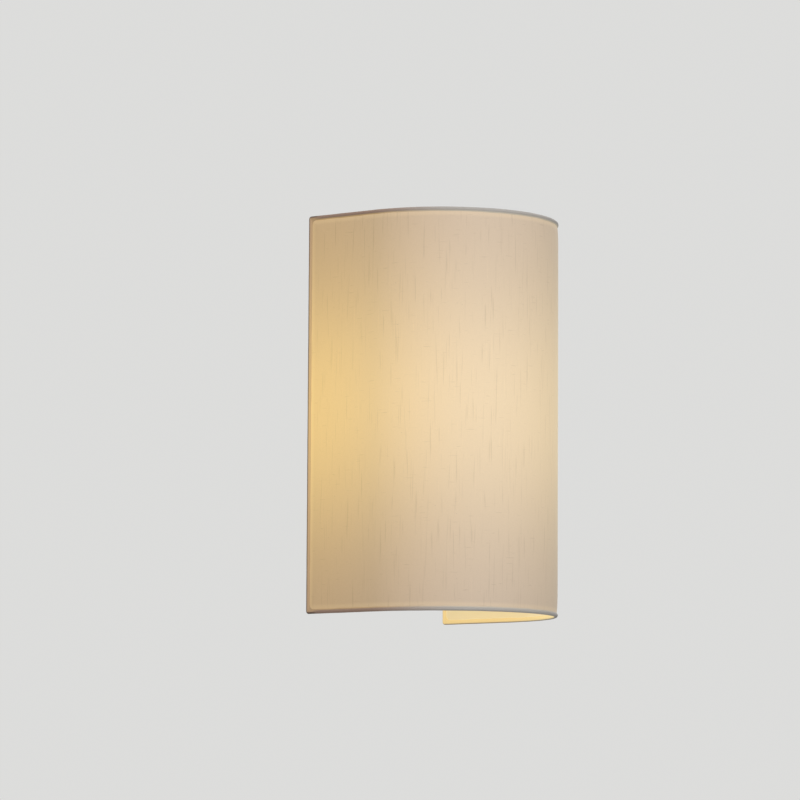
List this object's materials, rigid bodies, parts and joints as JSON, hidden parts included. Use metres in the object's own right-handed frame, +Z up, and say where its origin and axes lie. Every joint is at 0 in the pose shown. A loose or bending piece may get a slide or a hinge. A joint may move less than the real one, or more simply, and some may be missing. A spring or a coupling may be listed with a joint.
{
  "type": "wall light",
  "caption": "U-shaped fabric shade on a wire frame, hung on a steel wall plate with a canopy, a lampholder and a small round bulb; the shade lifts off and the bulb unscrews.",
  "frame": {"origin": "on the wall, at the back face of the wall plate, behind the middle of the shade and on the lamp axis", "axes": "+Z up, -Y out of the wall into the room along the lamp axis, +X to the right as seen from the room"},
  "size_m": [0.145, 0.128, 0.25],
  "materials": {
    "white_steel": "white powder coat, satin",
    "white_wire": "white coated wire, satin",
    "cream_fabric": "cream slubbed fabric on a stiff liner",
    "white_liner": "white diffusing film, matt",
    "edge_cloth": "cream fabric rolled round the frame wire",
    "clear_rubber": "translucent rubber",
    "black_rubber": "black rubber",
    "zinc_steel": "zinc plated",
    "white_holder": "white thermoset, semi-gloss",
    "steatite": "unglazed white ceramic",
    "brass_shell": "drawn brass",
    "bronze_spring": "phosphor bronze strip",
    "nylon_block": "natural nylon",
    "brass_inserts": "plain brass",
    "brown_wire": "brown insulation",
    "blue_wire": "blue insulation",
    "earth_green_wire": "green insulation with a yellow stripe",
    "tinned_tag": "tinned",
    "solder": "solder",
    "opal_glass": "frosted white glass",
    "nickel_cap": "nickel plated brass",
    "black_insulator": "black glass",
    "clear_glass": "clear glass",
    "lead_wire": "nickel wire",
    "tungsten": "coiled tungsten"
  },
  "bodies": {
    "wall_unit": {"wall_plate": "white_steel", "cable_grommet": "black_rubber", "canopy": "white_steel", "canopy_screws": "zinc_steel", "threaded_nipple": "zinc_steel", "nipple_washer": "zinc_steel", "nipple_nut": "zinc_steel", "lampholder_base": "white_holder", "lampholder_skirt": "white_holder", "contact_block": "steatite", "thread_shell": "brass_shell", "centre_contact": "bronze_spring", "terminal_block": "nylon_block", "terminal_inserts": "brass_inserts", "terminal_screws": "zinc_steel", "terminal_fixing_screw": "zinc_steel", "live_wire": "brown_wire", "neutral_wire": "blue_wire", "earth_wire": "earth_green_wire", "earth_tag": "tinned_tag", "earth_washer": "zinc_steel", "earth_screw": "zinc_steel"},
    "shade": {"fabric_cover": "cream_fabric", "shade_liner": "white_liner", "top_frame_wire": "white_wire", "bottom_frame_wire": "white_wire", "left_frame_wire": "white_wire", "right_frame_wire": "white_wire", "top_edge_trim": "edge_cloth", "bottom_edge_trim": "edge_cloth", "left_edge_trim": "edge_cloth", "right_edge_trim": "edge_cloth", "hanger_bar": "white_wire", "buffer_stubs": "white_wire", "wall_buffers": "clear_rubber"},
    "bulb_carriage": {"bulb_tip_contact": "solder"},
    "bulb": {"bulb_glass": "opal_glass", "bulb_cap": "nickel_cap", "bulb_insulator": "black_insulator", "bulb_stem": "clear_glass", "bulb_leads": "lead_wire", "bulb_filament": "tungsten"}
  },
  "joints": [
    {"name": "shade_lift", "type": "slide", "parent": "wall_unit", "child": "shade", "axis": [0, 0, 1], "range_m": [0, 0.22]},
    {"name": "bulb_feed", "type": "slide", "parent": "wall_unit", "child": "bulb_carriage", "axis": [0, -1, 0], "range_m": [0, 0.0141]},
    {"name": "bulb_turn", "type": "hinge", "parent": "bulb_carriage", "child": "bulb", "pos_m": [0, -0.05, 0], "axis": [0, -1, 0], "range_deg": [0, 1800]}
  ],
  "couplings": [
    {"joint": "bulb_feed", "follows": "bulb_turn", "m_per_rad": 0.00044881}
  ]
}
